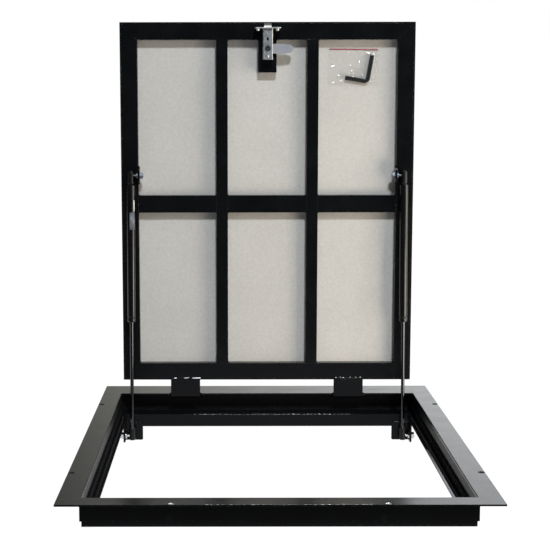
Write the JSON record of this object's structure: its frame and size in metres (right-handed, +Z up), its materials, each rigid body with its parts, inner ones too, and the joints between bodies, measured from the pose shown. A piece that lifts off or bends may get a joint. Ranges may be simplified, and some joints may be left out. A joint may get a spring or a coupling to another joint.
{
  "type": "floor access hatch",
  "caption": "Floor access hatch: board-filled steel lid on gooseneck hinges over a mitred angle frame, held open by gas struts, shut by a key-operated latch.",
  "frame": {"origin": "middle of the frame in plan, on the underside of the flange that lies on the floor", "axes": "+X to the side that the release lever points to, +Y from the latch side to the hinge side, +Z up"},
  "size_m": [0.74, 0.928, 0.925],
  "materials": {
    "black_paint": "satin black paint",
    "zinc_plate": "zinc plated steel",
    "polished_rod": "hard chrome",
    "strut_paint": "gloss black paint",
    "socket_plastic": "moulded black",
    "seal_rubber": "extruded rubber",
    "cement_board": "sanded cement-bonded board",
    "clear_nylon": "translucent nylon",
    "key_steel": "black oxide",
    "bag_film": "clear film"
  },
  "bodies": {
    "frame": {"frame_front": "black_paint", "frame_rear": "black_paint", "frame_left": "black_paint", "frame_right": "black_paint", "rear_strip": "black_paint", "seat_front": "black_paint", "seat_left": "black_paint", "seat_right": "black_paint", "seat_rear": "black_paint", "seal_front": "seal_rubber", "seal_left": "seal_rubber", "seal_right": "seal_rubber", "hinge_lugs_left": "black_paint", "hinge_lugs_right": "black_paint", "hinge_pin_left": "zinc_plate", "hinge_pin_right": "zinc_plate", "strut_bracket_left": "black_paint", "strut_bracket_right": "black_paint", "lower_ball_stud_left": "zinc_plate", "lower_ball_stud_right": "zinc_plate", "lower_stud_nut_left": "zinc_plate", "lower_stud_nut_right": "zinc_plate"},
    "lid": {"hinge_arm_left": "black_paint", "hinge_arm_right": "black_paint", "upper_ball_stud_left": "zinc_plate", "upper_ball_stud_right": "zinc_plate", "upper_stud_nut_left": "zinc_plate", "upper_stud_nut_right": "zinc_plate", "strut_lug_left": "black_paint", "strut_lug_right": "black_paint", "lid_rim_sides": "black_paint", "lid_rim_ends": "black_paint", "lid_tube_front": "black_paint", "lid_tube_rear": "black_paint", "lid_tube_left": "black_paint", "lid_tube_right": "black_paint", "stiffener_left": "black_paint", "stiffener_right": "black_paint", "crossbars": "black_paint", "lid_board": "cement_board", "latch_box": "black_paint", "latch_case": "zinc_plate", "latch_faceplate": "zinc_plate", "latch_spacers": "zinc_plate", "latch_spring": "zinc_plate", "hex_key": "key_steel", "key_bag": "bag_film"},
    "strut_rod_left": {"strut_rod_end_left": "socket_plastic", "strut_rod_left": "polished_rod"},
    "strut_tube_left": {"strut_tube_left": "strut_paint", "strut_tube_end_left": "socket_plastic", "upper_ball_left": "zinc_plate"},
    "strut_rod_right": {"strut_rod_end_right": "socket_plastic", "strut_rod_right": "polished_rod"},
    "strut_tube_right": {"strut_tube_right": "strut_paint", "strut_tube_end_right": "socket_plastic", "upper_ball_right": "zinc_plate"},
    "latch_lever": {"latch_hub": "zinc_plate", "latch_lever": "clear_nylon"},
    "latch_bolt": {"latch_bolt": "zinc_plate"}
  },
  "joints": [
    {"name": "lid_hinge", "type": "hinge", "parent": "frame", "child": "lid", "pos_m": [0, 0.418, -0.006], "axis": [1, 0, 0], "range_deg": [0, 90], "stiffness_Nm_per_rad": 10, "springref_deg": -57.3},
    {"name": "strut_pivot_left", "type": "hinge", "parent": "frame", "child": "strut_rod_left", "pos_m": [-0.302, 0.333, -0.082], "axis": [1, 0, 0], "range_deg": [0, 89.6]},
    {"name": "strut_slide_left", "type": "slide", "parent": "strut_rod_left", "child": "strut_tube_left", "axis": [0, -0.0742, -0.9972], "range_m": [0, 0.1613]},
    {"name": "strut_pivot_right", "type": "hinge", "parent": "frame", "child": "strut_rod_right", "pos_m": [0.302, 0.333, -0.082], "axis": [1, 0, 0], "range_deg": [0, 89.6]},
    {"name": "strut_slide_right", "type": "slide", "parent": "strut_rod_right", "child": "strut_tube_right", "axis": [0, -0.0742, -0.9972], "range_m": [0, 0.1613]},
    {"name": "lever_turn", "type": "hinge", "parent": "lid", "child": "latch_lever", "pos_m": [0, 0.37, 0.772], "axis": [0, 1, 0], "range_deg": [0, 65]},
    {"name": "bolt_slide", "type": "slide", "parent": "lid", "child": "latch_bolt", "axis": [0, 0, -1], "range_m": [0, 0.009], "stiffness_N_per_m": 400, "springref_m": -0.01, "deforming": ["latch_spring"]}
  ],
  "couplings": [
    {"joint": "strut_pivot_left", "follows": "lid_hinge", "ratio": 0.99548},
    {"joint": "strut_slide_left", "follows": "lid_hinge", "m_per_rad": 0.10263},
    {"joint": "strut_pivot_right", "follows": "lid_hinge", "ratio": 0.99548},
    {"joint": "strut_slide_right", "follows": "lid_hinge", "m_per_rad": 0.10263},
    {"joint": "lever_turn", "follows": "bolt_slide", "rad_per_m": 126}
  ]
}
